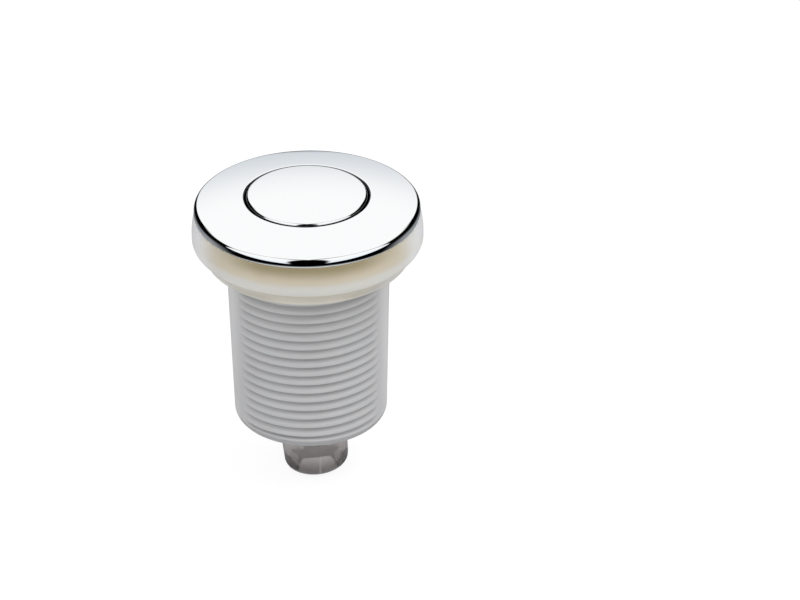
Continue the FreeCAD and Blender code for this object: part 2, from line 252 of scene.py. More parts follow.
def rounded(corners, steps=8):
    """Outline through corners (radius, level, rounding).

    A rounding replaces its corner by the arc that touches both sides. Its centre lies on the
    line that halves the corner, at rounding / sin(half the angle) from it.
    """
    corners = np.array(corners, float)
    places = corners[:, :2]
    pieces = []
    for index, (radius, level, rounding) in enumerate(corners):
        here = np.array([radius, level])
        if rounding == 0:
            pieces.append(here[None])
            continue
        before = places[index - 1] - here
        after = places[(index + 1) % len(places)] - here
        before /= np.linalg.norm(before)
        after /= np.linalg.norm(after)
        halfway = before + after
        halfway /= np.linalg.norm(halfway)
        half = math.acos(np.clip(before @ halfway, -1, 1))
        centre = here + halfway * rounding / math.sin(half)
        reach = rounding / math.tan(half)
        first = here + before * reach - centre
        last = here + after * reach - centre
        start = math.atan2(first[1], first[0])
        sweep = math.atan2(last[1], last[0]) - start
        sweep = (sweep + math.pi) % (2 * math.pi) - math.pi
        pieces.append(arc(centre, rounding, start, start + sweep, steps))
    return np.concatenate(pieces)


def dome_edge(dome, top, wall, rounding, side, steps=12):
    """Rounded edge between a dome and an upright wall, from the wall to the dome.

    The dome's centre is on the axis, at its radius below the top. The rounding's centre is at
    its radius from the wall and at dome radius - rounding from the dome's centre, so it touches
    both. side is 1 for a wall outside the face and -1 for a wall round a hole.
    """
    middle = np.array([0.0, top - dome])
    x = wall - side * rounding
    centre = np.array([x, middle[1] + math.sqrt((dome - rounding) ** 2 - x**2)])
    towards = centre - middle
    end = math.atan2(towards[1], towards[0])
    start = 0.0 if side > 0 else math.pi
    return arc(centre, rounding, start, end, steps)


def dome_run(dome, top, start, end, steps):
    """Points on a dome between two radii, evenly spaced in angle."""
    angles = np.arccos(np.linspace(start, end, steps) / dome)
    return np.stack([dome * np.cos(angles), top - dome + dome * np.sin(angles)], axis=1)


# Meshes


def turned(outline, steps):
    """Grid of points: outline point i turned to angle j. x = r cos, y = r sin, z = level."""
    turn = np.linspace(0, 2 * math.pi, steps, endpoint=False)
    radius = outline[:, 0][:, None]
    level = np.broadcast_to(outline[:, 1][:, None], (len(outline), steps))
    return np.stack([radius * np.cos(turn), radius * np.sin(turn), level], axis=2)


def mesh_from(name, grid, closed=True, shade=None):
    """Mesh from a grid of points that closes round the axis, and along the outline too if closed.

    Faces go round the axis first, so an outline that runs anticlockwise has them pointing out.
    shade is a number for each point, which the material may read.
    """
    rows, columns = grid.shape[:2]
    index = np.arange(rows * columns).reshape(rows, columns)
    right = np.roll(index, -1, axis=1)
    above = np.roll(index, -1, axis=0)
    corner = np.roll(right, -1, axis=0)
    faces = np.stack([index, right, corner, above], axis=2)
    if not closed:
        faces = faces[:-1]
    faces = faces.reshape(-1, 4)
    mesh = bpy.data.meshes.new(name)
    mesh.vertices.add(grid.size // 3)
    mesh.vertices.foreach_set("co", grid.reshape(-1).astype(np.float32))
    mesh.loops.add(faces.size)
    mesh.loops.foreach_set("vertex_index", faces.reshape(-1).astype(np.int32))
    mesh.polygons.add(len(faces))
    starts = np.arange(0, faces.size, 4, dtype=np.int32)
    mesh.polygons.foreach_set("loop_start", starts)
    mesh.update(calc_edges=True)
    if shade is not None:
        numbers = mesh.attributes.new("shade", "FLOAT", "POINT")
        numbers.data.foreach_set("value", shade.reshape(-1).astype(np.float32))
    work = bmesh.new()
    work.from_mesh(mesh)
    bmesh.ops.remove_doubles(work, verts=work.verts, dist=1e-8)
    work.to_mesh(mesh)
    work.free()
    mesh.validate()
    mesh.shade_smooth()
    mesh.set_sharp_from_angle(angle=math.radians(32))
    return mesh


def new_piece(name, mesh, material, body, slot, *nodes):
    """Links a finished mesh as a piece that rides on a body and stands for CAD nodes."""
    piece = bpy.data.objects.new(name, mesh)
    bpy.context.scene.collection.objects.link(piece)
    mesh.materials.append(material)
    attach(piece, body)
    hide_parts(*nodes)
    return piece


# Materials


class Wire:
    """A value in a material. Arithmetic on it adds Math nodes."""

    def __init__(self, paint, socket):
        self.paint = paint
        self.socket = socket

    def __add__(self, other):
        return self.paint.sum("ADD", self, other)

    def __radd__(self, other):
        return self.paint.sum("ADD", other, self)

    def __sub__(self, other):
        return self.paint.sum("SUBTRACT", self, other)

    def __rsub__(self, other):
        return self.paint.sum("SUBTRACT", other, self)

    def __mul__(self, other):
        return self.paint.sum("MULTIPLY", self, other)

    def __truediv__(self, other):
        return self.paint.sum("DIVIDE", self, other)

    def __pow__(self, other):
        return self.paint.sum("POWER", self, other)


class Paint:
    """The nodes of one material or of the world."""

    def __init__(self, tree):
        self.tree = tree
        tree.nodes.clear()

    def node(self, kind, settings=None, sockets=None, out=0):
        """Adds a node, sets it up, fills its sockets and returns one of its outputs."""
        node = self.tree.nodes.new(kind)
        for name, value in (settings or {}).items():
            setattr(node, name, value)
        for name, value in (sockets or {}).items():
            socket = node.inputs[name]
            if isinstance(value, Wire):
                self.tree.links.new(value.socket, socket)
            else:
                socket.default_value = value
        return Wire(self, node.outputs[out]) if node.outputs else None

    def sum(self, operation, first, second):
        return self.node(
            "ShaderNodeMath", {"operation": operation}, {0: first, 1: second}
        )

    def clamp(self, value):
        return self.node("ShaderNodeClamp", None, {0: value, 1: 0.0, 2: 1.0})

    def size_of(self, value):
        """The value without its sign."""
        return self.node("ShaderNodeMath", {"operation": "ABSOLUTE"}, {0: value})

    def step(self, value, start, end):
        """0 below start and 1 above end, smooth between. start may be above end."""
        return self.node(
            "ShaderNodeMapRange",
            {"interpolation_type": "SMOOTHSTEP"},
            {0: value, 1: start, 2: end, 3: 0.0, 4: 1.0},
        )

    def mix(self, factor, first, second):
        """Mixes two colours."""
        return self.node(
            "ShaderNodeMix",
            {"data_type": "RGBA"},
            {0: factor, 6: full(first), 7: full(second)},
            out=2,
        )

    def place(self):
        return self.node("ShaderNodeTexCoord", out=3)

    def rays(self):
        """1 for rays from the camera, for mirrored rays and for rays through glass."""
        outputs = self.node("ShaderNodeLightPath").socket.node.outputs
        names = ("Is Camera Ray", "Is Glossy Ray", "Is Transmission Ray")
        return [Wire(self, outputs[name]) for name in names]

    def split(self, vector):
        parts = self.node("ShaderNodeSeparateXYZ", None, {0: vector})
        outputs = parts.socket.node.outputs
        return [Wire(self, outputs[index]) for index in range(3)]

    def away_from_middle(self):
        """Distance to the left or right of the plane through the axis and the camera."""
        return self.size_of(self.split(self.place())[0])

    def noise(self, size, detail=3.0, roughness=0.5, stretch=(1, 1, 1)):
        """Noise with features of about a size in metres, stretched along the axes."""
        at = self.node(
            "ShaderNodeMapping",
            None,
            {"Vector": self.place(), "Scale": tuple(1 / (size * k) for k in stretch)},
        )
        return self.node(
            "ShaderNodeTexNoise",
            None,
            {"Vector": at, "Scale": 1.0, "Detail": detail, "Roughness": roughness},
        )

    def specks(self, size, share_seen):
        """1 in small round specks and 0 between them."""
        at = self.node(
            "ShaderNodeMapping", None, {"Vector": self.place(), "Scale": (1 / size,) * 3}
        )
        near = self.node(
            "ShaderNodeTexVoronoi", {"feature": "F1"}, {"Vector": at, "Scale": 1.0}
        )
        return self.step(near, share_seen, share_seen * 0.5)

    def bump(self, height, distance, strength=1.0):
        return self.node(
            "ShaderNodeBump",
            None,
            {"Height": height, "Distance": distance, "Strength": strength},
        )


def full(value):
    """A colour with its fourth number, or a wire as it is."""
    return value if isinstance(value, Wire) else (*tuple(value)[:3], 1.0)


def finish_material(name, build):
    """Makes a material. build(paint) gives the sockets of its Principled shader."""
    material = bpy.data.materials.new(name)
    material.use_nodes = True
    paint = Paint(material.node_tree)
    shader = paint.node("ShaderNodeBsdfPrincipled", None, build(paint))
    paint.node("ShaderNodeOutputMaterial", None, {"Surface": shader})
    return material


def white_plastic(name, tone, grooved=False):
    """Satin moulded plastic: slow clouds in its tone, fine grain and a few dark specks.

    If grooved, painted shade darkens it under each crest's lower edge and on its rounded foot, as
    the mesh's shade numbers say, and painted light makes it paler at its two sides.
    """

    def build(paint):
        clouds = paint.noise(6 * MM, 2.0)
        grain = paint.noise(0.16 * MM, 4.0)
        specks = paint.specks(3.2 * MM, 0.05)
        dark = tuple(part * 0.93 for part in tone)
        base = paint.mix(clouds, dark, tone)
        base = paint.mix(specks * 0.35, base, (0.30, 0.28, 0.25))
        if grooved:
            # Painted shade: darker under each crest's lower edge and on the rounded foot, from the
            # mesh's shade numbers
            dust_and_painted_shade = paint.node("ShaderNodeAttribute", {"attribute_name": "shade"}, out=2)
            # Painted light: paler towards its two sides, left and right of the middle
            side = paint.away_from_middle()
            pale = paint.step(side, 13.2 * MM, 15.4 * MM)
            base = paint.mix(pale * 0.7, base, (0.84, 0.84, 0.84))
            base = paint.mix(dust_and_painted_shade * 0.52, base, tuple(part * 0.4 for part in tone))
        height = grain * 0.6 + clouds * 0.8
        return {
            "Base Color": base,
            "Roughness": 0.40 + clouds * 0.14,
            "Subsurface Weight": 0.12,
            "Subsurface Radius": (1.0, 0.95, 0.9),
            "Subsurface Scale": 0.6 * MM,
            "IOR": 1.5,
            "Normal": paint.bump(height, 0.012 * MM, 0.6),
        }

    return finish_material(name, build)


def chrome(name, tone, blur, gap):
    """Mirror plating with the faintest wipe marks and slow waves in its polish.

    Painted shade makes the narrow gap round the cap near black: the wall of the bezel's hole and the
    foot of the cap's skirt. gap is its inner radius, its outer radius and its upper level.
    """
    inner, outer, upper = gap

    def build(paint):
        wipes = paint.noise(2.4 * MM, 5.0, 0.6, stretch=(3.0, 1.0, 1.0))
        waves = paint.noise(9 * MM, 1.0)
        dust_and_painted_shade = paint.specks(5.0 * MM, 0.028)
        base = paint.mix(dust_and_painted_shade * 0.5, tone, (0.45, 0.45, 0.46))
        x, y, level = paint.split(paint.place())
        radius = (x * x + y * y) ** 0.5
        # Painted shade: the wall of the bezel's hole and the foot of the cap's skirt, inside the gap
        hole = paint.step(radius, outer - 0.15 * MM, outer - 0.05 * MM)
        hole = hole * paint.step(radius, outer + 0.32 * MM, outer + 0.16 * MM)
        hole = hole * paint.step(level, upper, upper - 0.10 * MM)
        skirt = paint.step(radius, inner - 0.10 * MM, inner - 0.03 * MM)
        skirt = skirt * paint.step(radius, outer - 0.05 * MM, outer - 0.15 * MM)
        skirt = skirt * paint.step(level, upper - 0.28 * MM, upper - 0.42 * MM)
        base = paint.mix(paint.clamp(hole + skirt), base, (0.07, 0.07, 0.075))
        return {
            "Base Color": base,
            "Metallic": 1.0,
            "Roughness": blur + wipes * blur * 0.7 + dust_and_painted_shade * 0.3,
            "Normal": paint.bump(waves, 0.004 * MM, 0.5),
        }

    return finish_material(name, build)


def cream_silicone(name, cream, warm_shade, shade, top, crease):
    """Soft translucent cream ring, with painted shade: brown under the rim, warm in the crease and
    on the front of its foot, greyer low on its foot to each side; and painted light, paler at its
    sides.
    """

    def build(paint):
        level = paint.split(paint.place())[2]
        side = paint.away_from_middle()
        clouds = paint.noise(4 * MM, 3.0)
        grain = paint.noise(0.2 * MM, 3.0)
        below_rim = level + clouds * 0.5 * MM
        # Painted warm shade a little way below the rim, towards the front and back
        painted_warm_shade = paint.step(below_rim, top - 4.3 * MM, top - 2.6 * MM)
        painted_warm_shade = painted_warm_shade * paint.step(side, 21.5 * MM, 16 * MM)
        # Painted shade in the crease and on the front of the foot, in the same warm colour
        in_crease = paint.step(level, crease - 0.5 * MM, crease - 0.05 * MM)
        in_crease = in_crease * paint.step(level, crease + 0.5 * MM, crease + 0.05 * MM)
        foot = paint.step(level, crease, crease - 0.3 * MM) * 0.4
        in_front = paint.step(side, 16 * MM, 8 * MM)
        painted_warm_shade = paint.clamp(painted_warm_shade + (in_crease + foot) * in_front)
        # Painted shade right under the plated rim, towards the front and back
        shaded = paint.step(below_rim, top - 2.9 * MM, top - 0.1 * MM)
        shaded = shaded * paint.step(side, 20 * MM, 8 * MM)
        # Painted shade: greyer low on the foot, a little to each side of the front
        under = paint.step(level, 2.3 * MM, 1.0 * MM) * paint.step(side, 5 * MM, 9 * MM)
        under = under * paint.step(side, 17 * MM, 12 * MM)
        pale = tuple(min(1.0, part * 1.05) for part in cream)
        base = paint.mix(clouds, cream, pale)
        # Painted light: paler at its sides, left and right of the middle
        base = paint.mix(paint.step(side, 17.5 * MM, 21.5 * MM), base, (0.88, 0.88, 0.88))
        base = paint.mix(under * 0.5, base, (0.40, 0.385, 0.345))
        base = paint.mix(painted_warm_shade, base, warm_shade)
        base = paint.mix(shaded, base, shade)
        return {
            "Base Color": base,
            "Roughness": 0.34 + clouds * 0.16,
            "Subsurface Weight": 0.45,
            "Subsurface Radius": (1.0, 0.85, 0.6),
            "Subsurface Scale": 1.6 * MM,
            "IOR": 1.41,
            "Normal": paint.bump(grain * 0.5 + clouds, 0.02 * MM, 0.5),
        }

    return finish_material(name, build)


def smoky_plastic(name, tone, deep, bend, foot):
    """Smoky moulded plastic: deeper towards its foot, with flow lines, a seam and bubbles."""

    def build(paint):
        across, along, level = paint.split(paint.place())
        flow = paint.noise(1.4 * MM, 3.0, 0.55, stretch=(1.0, 1.0, 4.0))
        bubbles = paint.specks(1.9 * MM, 0.07)
        off = paint.size_of(across - SEAM)
        seam = paint.step(off, 0.24 * MM, 0.08 * MM) * paint.step(along, 0.0, -1.0 * MM)
        height = level + flow * 1.5 * MM
        base = paint.mix(paint.step(height, foot + 1.0 * MM, foot + 8.0 * MM), deep, tone)
        light = paint.clamp(seam * 0.32 + bubbles * 0.3)
        base = paint.mix(light, base, (0.60, 0.57, 0.56))
        return {
            "Base Color": base,
            "Transmission Weight": 0.62,
            "IOR": bend,
            "Roughness": 0.10 + flow * 0.10 + bubbles * 0.2,
            "Normal": paint.bump(flow + seam * 1.5 + bubbles * 0.6, 0.03 * MM, 0.6),
        }

    return finish_material(name, build)


def clear_plastic(name, tone, bend, cloud):
    """Soft clear plastic, a little cloudy, with flow lines and tiny bubbles."""

    def build(paint):
        flow = paint.noise(1.4 * MM, 3.0, 0.55, stretch=(1.0, 1.0, 4.0))
        bubbles = paint.specks(1.9 * MM, 0.07)
        dark = tuple(part * 0.9 for part in tone)
        return {
            "Base Color": paint.mix(flow, dark, tone),
            "Transmission Weight": 1.0,
            "IOR": bend,
            "Roughness": cloud + flow * 0.05 + bubbles * 0.2,
            "Normal": paint.bump(flow + bubbles * 0.6, 0.03 * MM, 0.5),
        }

    return finish_material(name, build)


def drawn_steel(name):
    """Drawn wire and stamped steel: bright, with fine lines along the axis."""

    def build(paint):
        lines = paint.noise(0.12 * MM, 3.0, 0.6, stretch=(1.0, 1.0, 9.0))
        clouds = paint.noise(2.5 * MM, 2.0)
        base = paint.mix(clouds, (0.46, 0.46, 0.47), (0.62, 0.62, 0.63))
        return {
            "Base Color": base,
            "Metallic": 1.0,
            "Roughness": 0.24 + lines * 0.18,
            "Normal": paint.bump(lines, 0.006 * MM, 0.6),
        }

    return finish_material(name, build)


def black_rubber(name):
    """Moulded seal rubber: matt, with a dusty bloom."""

    def build(paint):
        bloom = paint.noise(1.1 * MM, 4.0)
        grain = paint.noise(0.1 * MM, 2.0)
        return {
            "Base Color": paint.mix(bloom, (0.018, 0.018, 0.018), (0.045, 0.044, 0.043)),
            "Roughness": 0.52 + bloom * 0.2,
            "Normal": paint.bump(grain, 0.01 * MM, 0.6),
        }

    return finish_material(name, build)


def repaint(node, material):
    """Gives a CAD node that stays shown its finished material."""
    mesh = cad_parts[node].data
    mesh.materials.clear()
    mesh.materials.append(material)


# Operators


class StageOperator(bpy.types.Operator):
    """Adds the floor, the soft light and the camera"""

    bl_idname = "push_button.stage"
    bl_label = "Stage"

    def execute(self, context):
        values = sizes().stage
        make_floor(foot_of("hose_connector").z - 0.05 * MM)
        make_world(values.fill)
        make_lamps(values.lamp)
        make_camera(values)
        return {"FINISHED"}


class BarrelOperator(bpy.types.Operator):
    """Moulded barrel with its thread and smooth strips"""

    bl_idname = "push_button.barrel"
    bl_label = "Threaded barrel"

    def execute(self, context):
        values = sizes().barrel
        grid, shade = barrel_grid(values, sizes().around)
        mesh = mesh_from("threaded_barrel_moulded", grid, shade=shade)
        material = white_plastic(
            "white_moulded_plastic", tuple(values.plastic), grooved=True
        )
        new_piece(
            "threaded_barrel_moulded",
            mesh,
            material,
            "housing",
            "white_plastic",
            "threaded_barrel",
        )
        return {"FINISHED"}


class PlatingOperator(bpy.types.Operator):
    """Plated bezel ring and push cap"""

    bl_idname = "push_button.plating"
    bl_label = "Bezel and cap"

    def execute(self, context):
        values = sizes().bezel
        cap_top = top_of("push_cap")
        gap = (cap_top.x, cap_top.x + CAP_GAP, cap_top.z - LIP_DROP)
        material = chrome("polished_plating", tuple(values.plating), values.blur, gap)
        ring = turned(bezel_outline(values), sizes().around)
        new_piece(
            "bezel_ring_plated",
            mesh_from("bezel_ring_plated", ring),
            material,
            "housing",
            "polished_chrome",
            "bezel_ring",
        )
        cap = turned(cap_outline(values), sizes().around)
        new_piece(
            "push_cap_plated",
            mesh_from("push_cap_plated", cap, closed=False),
            material,
            "button",
            "polished_chrome",
            "push_cap",
        )
        return {"FINISHED"}


class GasketOperator(bpy.types.Operator):
    """Soft gasket in two steps under the bezel"""

    bl_idname = "push_button.gasket"
    bl_label = "Gasket"

    def execute(self, context):
        values = sizes().gasket
        mesh = mesh_from("gasket_soft", turned(gasket_outline(values), sizes().around))
        material = cream_silicone(
            "cream_silicone",
            tuple(values.cream),
            tuple(values.warm_shade),
            tuple(values.shade),
            top_of("panel_gasket").z,
            values.foot_height,
        )
        new_piece(
            "gasket_soft", mesh, material, "housing", "cream_silicone", "panel_gasket"
        )
        return {"FINISHED"}


class OutletOperator(bpy.types.Operator):
    """Clear outlet with its hose socket"""

    bl_idname = "push_button.outlet"
    bl_label = "Clear outlet"

    def execute(self, context):
        values = sizes().outlet
        material = smoky_plastic(
            "smoky_plastic",
            tuple(values.tint),
            tuple(values.deep),
            values.bend,
            foot_of("hose_connector").z,
        )
        repaint("hose_connector", material)
        return {"FINISHED"}


class SpringOperator(bpy.types.Operator):
    """Return spring"""

    bl_idname = "push_button.spring"
    bl_label = "Return spring"

    def execute(self, context):
        mesh = mesh_from("spring_coil", spring_grid(sizes().chamber), closed=False)
        material = drawn_steel("spring_wire")
        piece = new_piece(
            "spring_coil", mesh, material, "housing", "spring_steel", "return_spring"
        )
        squeeze(piece)
        return {"FINISHED"}


class BellowsOperator(bpy.types.Operator):
    """Soft folded air chamber"""

    bl_idname = "push_button.bellows"
    bl_label = "Bellows"

    def execute(self, context):
        values = sizes().chamber
        grid = turned(bellows_outline(values), sizes().around // 4)
        mesh = mesh_from("bellows_soft", grid, closed=False)
        material = clear_plastic("soft_clear_pvc", tuple(values.clear), 1.45, cloud=0.18)
        piece = new_piece(
            "bellows_soft", mesh, material, "housing", "soft_clear_pvc", "bellows"
        )
        squeeze(piece)
        return {"FINISHED"}


class InsideOperator(bpy.types.Operator):
    """Finishes of the pieces inside the barrel"""

    bl_idname = "push_button.inside"
    bl_label = "Inner pieces"

    def execute(self, context):
        plastic = white_plastic("inner_plastic", (0.70, 0.70, 0.69))
        steel = drawn_steel("drawn_steel")
        rubber = black_rubber("seal_rubber")
        repaint("plunger", plastic)
        repaint("guide_ring", plastic)
        repaint("seat_washer", steel)
        repaint("plunger_seal", rubber)
        repaint("connector_seal", rubber)
        return {"FINISHED"}


class ButtonPanel(bpy.types.Panel):
    """Lists the pieces of the push button"""

    bl_idname = "VIEW3D_PT_push_button"
    bl_label = "Push Button"
    bl_space_type = "VIEW_3D"
    bl_region_type = "UI"
    bl_category = "Push Button"

    def draw(self, context):
        for operator in OPERATORS:
            self.layout.operator(operator.bl_idname)
        groups = sizes()
        for name in ("barrel", "bezel", "gasket", "outlet", "chamber", "stage"):
            box = self.layout.box()
            box.label(text=name.capitalize())
            group = getattr(groups, name)
            for item in group.__annotations__:
                box.prop(group, item)


# Shapes of the pieces


def thread_climb(turn, strip):
    """How far the barrel's rows follow the thread up at each angle, in turns of the thread.

    They climb by one turn round the barrel, from -0.5 past the left strip's middle to 0.5 before
    it. Inside that strip a straight line joins the two ends.
    """
    past = (turn - math.pi) % (2 * math.pi)
    climb = past / (2 * math.pi) - 0.5
    near = (turn % (2 * math.pi)) - math.pi
    end = 0.5 - strip / (2 * math.pi)
    return np.where(np.abs(near) < strip, -near / strip * end, climb)


def barrel_grid(values, steps):
    """The barrel's outline turned round the axis, with the thread cut into its outside.

    The rows of the side follow the thread. Each point moves inwards by depth x groove x window x
    ends. groove drops at once under a crest's lower edge and comes back slowly, window is 0 on
    the two smooth strips and 1 between them, and ends fades the thread out at the top and the
    foot. Returns the points, and how deep in the shade of a crest each one lies, 0 to 1.
    """
    node_foot = foot_of("threaded_barrel").z
    node_top = top_of("threaded_barrel").z
    gasket_top = top_of("panel_gasket").z
    head = top_of("threaded_barrel").x
    ledge = foot_of("guide_ring").z
    floor_top = node_foot + FLOOR
    corner = (values.foot, node_foot, values.foot_round)
    rounding = rounded(
        [(FLOOR_HOLE, node_foot, 0), corner, (values.neck, 0.0, 0)], steps=14
    )[1:-1]
    low = rounding[-1, 1]
    turns = np.arange(-1, math.ceil(-low / values.pitch) + 1)[:, None]
    rows = THREAD_START + values.pitch * (0.25 - turns - np.array(THREAD_ROWS))
    rows = np.sort(rows.ravel())
    rows = np.append(rows[(rows > low + 0.02 * MM) & (rows < -0.02 * MM)], 0.0)
    draft = (values.neck - values.foot) / -node_foot
    straight = np.stack([values.neck + draft * rows, rows], axis=1)
    inner = np.array(
        [
            (values.neck, gasket_top),
            (head, gasket_top),
            (head, node_top),
            (HEAD_BORE, node_top),
            (HEAD_BORE, ledge),
            (BORE, ledge),
            (BORE, floor_top),
            (FLOOR_HOLE, floor_top),
            (FLOOR_HOLE, node_foot),
        ]
    )
    grid = turned(np.concatenate([rounding, straight, inner]), steps)
    side = slice(len(rounding), len(rounding) + len(straight))
    turn = np.linspace(0, 2 * math.pi, steps, endpoint=False)[None]
    ease = smooth((rows - low) / THREAD_EASE) * smooth(-rows / THREAD_EASE)
    climb = thread_climb(turn, values.strip - values.fade)
    level = rows[:, None] + values.pitch * climb * ease[:, None]
    edge = (THREAD_START - level) / values.pitch + (turn - FRONT) / (2 * math.pi)
    below = edge % 1.0
    groove = smooth(below / 0.05) * (1 - smooth((below - 0.24) / 0.54))
    from_front = np.abs((turn - FRONT + math.pi / 2) % math.pi - math.pi / 2)
    limit = math.pi / 2 - values.strip
    window = 1 - smooth((from_front - limit + values.fade) / (2 * values.fade))
    ends = smooth((level - node_foot - 1.9 * MM) / (0.5 * MM)) * smooth(-level / (0.6 * MM))
    radius = values.neck + draft * level - values.depth * groove * window * ends
    grid[side] = np.stack([radius * np.cos(turn), radius * np.sin(turn), level], axis=2)
    # Painted shade for the material: on the rounded foot, which faces down, and under each crest's
    # lower edge
    foot_shade = smooth((node_foot + 2.1 * MM - grid[..., 2]) / (0.7 * MM))
    shade = np.where(grid[..., 2] < node_foot + 2.1 * MM, foot_shade, 0.0)
    shade[side] += (1 - smooth((below - 0.15) / 0.60)) * smooth(below / 0.05) * window * ends
    return grid, shade


def smooth(value):
    """0 up to 0 and 1 from 1 on, with a smooth rise between: v x v x (3 - 2v)."""
    value = np.clip(value, 0, 1)
    return value * value * (3 - 2 * value)


def dome_top():
    """Height of the bezel's dome on the axis, from the cap's top less its stand-out."""
    return top_of("push_cap").z - STAND_OUT


def bezel_outline(values):
    """Closed outline of the plated ring: rim, domed face, lip, collar and inside."""
    low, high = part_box("bezel_ring")
    top = dome_top()
    rim = high.x
    hole = top_of("push_cap").x + CAP_GAP
    collar = hole + COLLAR
    inside = rim - values.wall
    gasket_top = top_of("panel_gasket").z
    outer = dome_edge(values.dome, top, rim, values.rim_round, 1)
    lip = dome_edge(values.dome, top, hole, values.lip_round, -1)[::-1]
    face = dome_run(values.dome, top, outer[-1, 0], lip[0, 0], 40)[1:-1]
    under = dome_run(values.dome - values.wall, top - values.wall, collar, inside, 12)
    return np.concatenate(
        [
            [(rim - 0.10 * MM, gasket_top), (rim, gasket_top + 0.28 * MM)],
            outer,
            face,
            lip,
            [(hole, low.z), (collar, low.z)],
            under,
            [(inside, gasket_top)],
        ]
    )


def cap_outline(values):
    """Open outline of the cap, from its underside on the axis round to its top on the axis."""
    low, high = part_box("push_cap")
    top = high.z
    radius = high.x
    stem_top = top - CAP_PLATE
    skirt = radius - CAP_SKIRT
    edge = dome_edge(values.dome, top, radius, values.cap_round, 1)
    crown = dome_run(values.dome, top, edge[-1, 0], 0.0, 40)[1:]
    return np.concatenate(
        [
            [(0.0, stem_top), (CAP_STEM, stem_top), (CAP_STEM, low.z), (CAP_SLEEVE, low.z)],
            [(CAP_SLEEVE, stem_top), (skirt, stem_top), (skirt, low.z), (radius, low.z)],
            edge,
            crown,
        ]
    )


def gasket_outline(values):
    """Closed outline of the soft ring: foot, crease, rounded flange and bulging flank."""
    high = top_of("panel_gasket")
    wide = high.x
    flank_foot = values.foot_height + values.flange_side
    top_radius = top_of("bezel_ring").x
    rise = high.z - flank_foot
    pull = wide - top_radius
    bulge = (rise**2 + pull**2) / (2 * pull)
    flank = arc((wide - bulge, flank_foot), bulge, 0.0, math.asin(rise / bulge), 20)
    low = rounded(
        [
            (GASKET_BORE, 0.0, 0),
            (values.foot_radius, 0.0, values.foot_round),
            (values.foot_radius, values.foot_height, 0),
            (wide, values.foot_height, values.flange_round),
            (wide, flank_foot, 0),
        ],
        steps=14,
    )[:-1]
    return np.concatenate([low, flank, [(GASKET_BORE, high.z)]])


def squeeze(piece):
    """Gives a piece its own copy of its mesh."""
    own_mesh(piece)


def spring_grid(values):
    """A round wire carried along a coil, with its two ends closed.

    The coil's middle line is (R cos t, R sin t, level), where the level rises evenly with t. Each
    ring of the wire lies across that line: middle + wire x (cos a x outwards + sin a x upwards).
    """
    low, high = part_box("return_spring")
    wire = values.wire / 2
    coil = high.x - wire
    turn = np.linspace(0, 2 * math.pi * values.turns, 48 * math.ceil(values.turns))[:, None]
    rise = (high.z - low.z - values.wire) / turn[-1, 0]
    level = low.z + wire + rise * turn
    middle = np.hstack([coil * np.cos(turn), coil * np.sin(turn), level])
    outwards = np.hstack([np.cos(turn), np.sin(turn), 0 * turn])
    along = np.hstack([-coil * np.sin(turn), coil * np.cos(turn), rise + 0 * turn])
    along /= np.linalg.norm(along, axis=1)[:, None]
    upwards = np.cross(along, outwards)
    round_wire = np.linspace(0, 2 * math.pi, 16, endpoint=False)[None, :, None]
    ring = np.cos(round_wire) * outwards[:, None] + np.sin(round_wire) * upwards[:, None]
    tube = middle[:, None] + wire * ring
    foot = np.broadcast_to(middle[:1, None], tube[:1].shape)
    top = np.broadcast_to(middle[-1:, None], tube[-1:].shape)
    return np.concatenate([foot, tube, top])


def bellows_outline(values):
    """Open outline of the bellows, from the inside of its top round its neck to its top outside.

    Outside the wall is root + depth x (1 - cos(turn)) / 2, where turn goes once round for each
    fold. The inside is the same line, closer to the axis by the wall.
    """
    foot = foot_of("return_spring").z
    top = top_of("return_spring").z
    neck_foot = foot_of("bellows").z
    root = top_of("bellows").x - values.fold_depth
    low = foot + values.end_wall
    high = top - values.end_wall
    share_up = np.linspace(0, 1, 16 * values.folds + 1)
    swell = values.fold_depth * (1 - np.cos(2 * math.pi * values.folds * share_up)) / 2
    level = low + (high - low) * share_up
    outside = np.stack([root + swell, level], axis=1)
    inside = np.stack([root + swell - values.wall, level], axis=1)[::-1]
    neck = [(SPIGOT, low), (SPIGOT, neck_foot), (SPIGOT + NECK_WALL, neck_foot)]
    neck += [(SPIGOT + NECK_WALL, foot), (root, foot)]
    return np.concatenate([[(0.0, high)], inside, neck, outside, [(root, top), (0.0, top)]])


# Stage


def make_floor(level):
    """A wide pale floor that keeps the object's soft shadow. Mirrored rays pass through it."""
    reach = 4.0
    corners = [
        (-reach, -reach, level),
        (reach, -reach, level),
        (reach, reach, level),
        (-reach, reach, level),
    ]
    mesh = bpy.data.meshes.new("floor")
    mesh.from_pydata(corners, [], [(0, 1, 2, 3)])
    material = bpy.data.materials.new("floor_white")
    material.use_nodes = True
    paint = Paint(material.node_tree)
    seen, _, through = paint.rays()
    pale = paint.node("ShaderNodeBsdfDiffuse", None, {"Color": (0.85, 0.85, 0.85, 1.0)})
    glow = paint.node("ShaderNodeEmission", None, {"Color": (1, 1, 1, 1), "Strength": 1.12})
    part = paint.clamp(seen * 0.80 + through)
    both = paint.node("ShaderNodeMixShader", None, {0: part, 1: pale, 2: glow})
    paint.node("ShaderNodeOutputMaterial", None, {"Surface": both})
    mesh.materials.append(material)
    floor = bpy.data.objects.new("floor", mesh)
    floor.visible_glossy = False
    bpy.context.scene.collection.objects.link(floor)


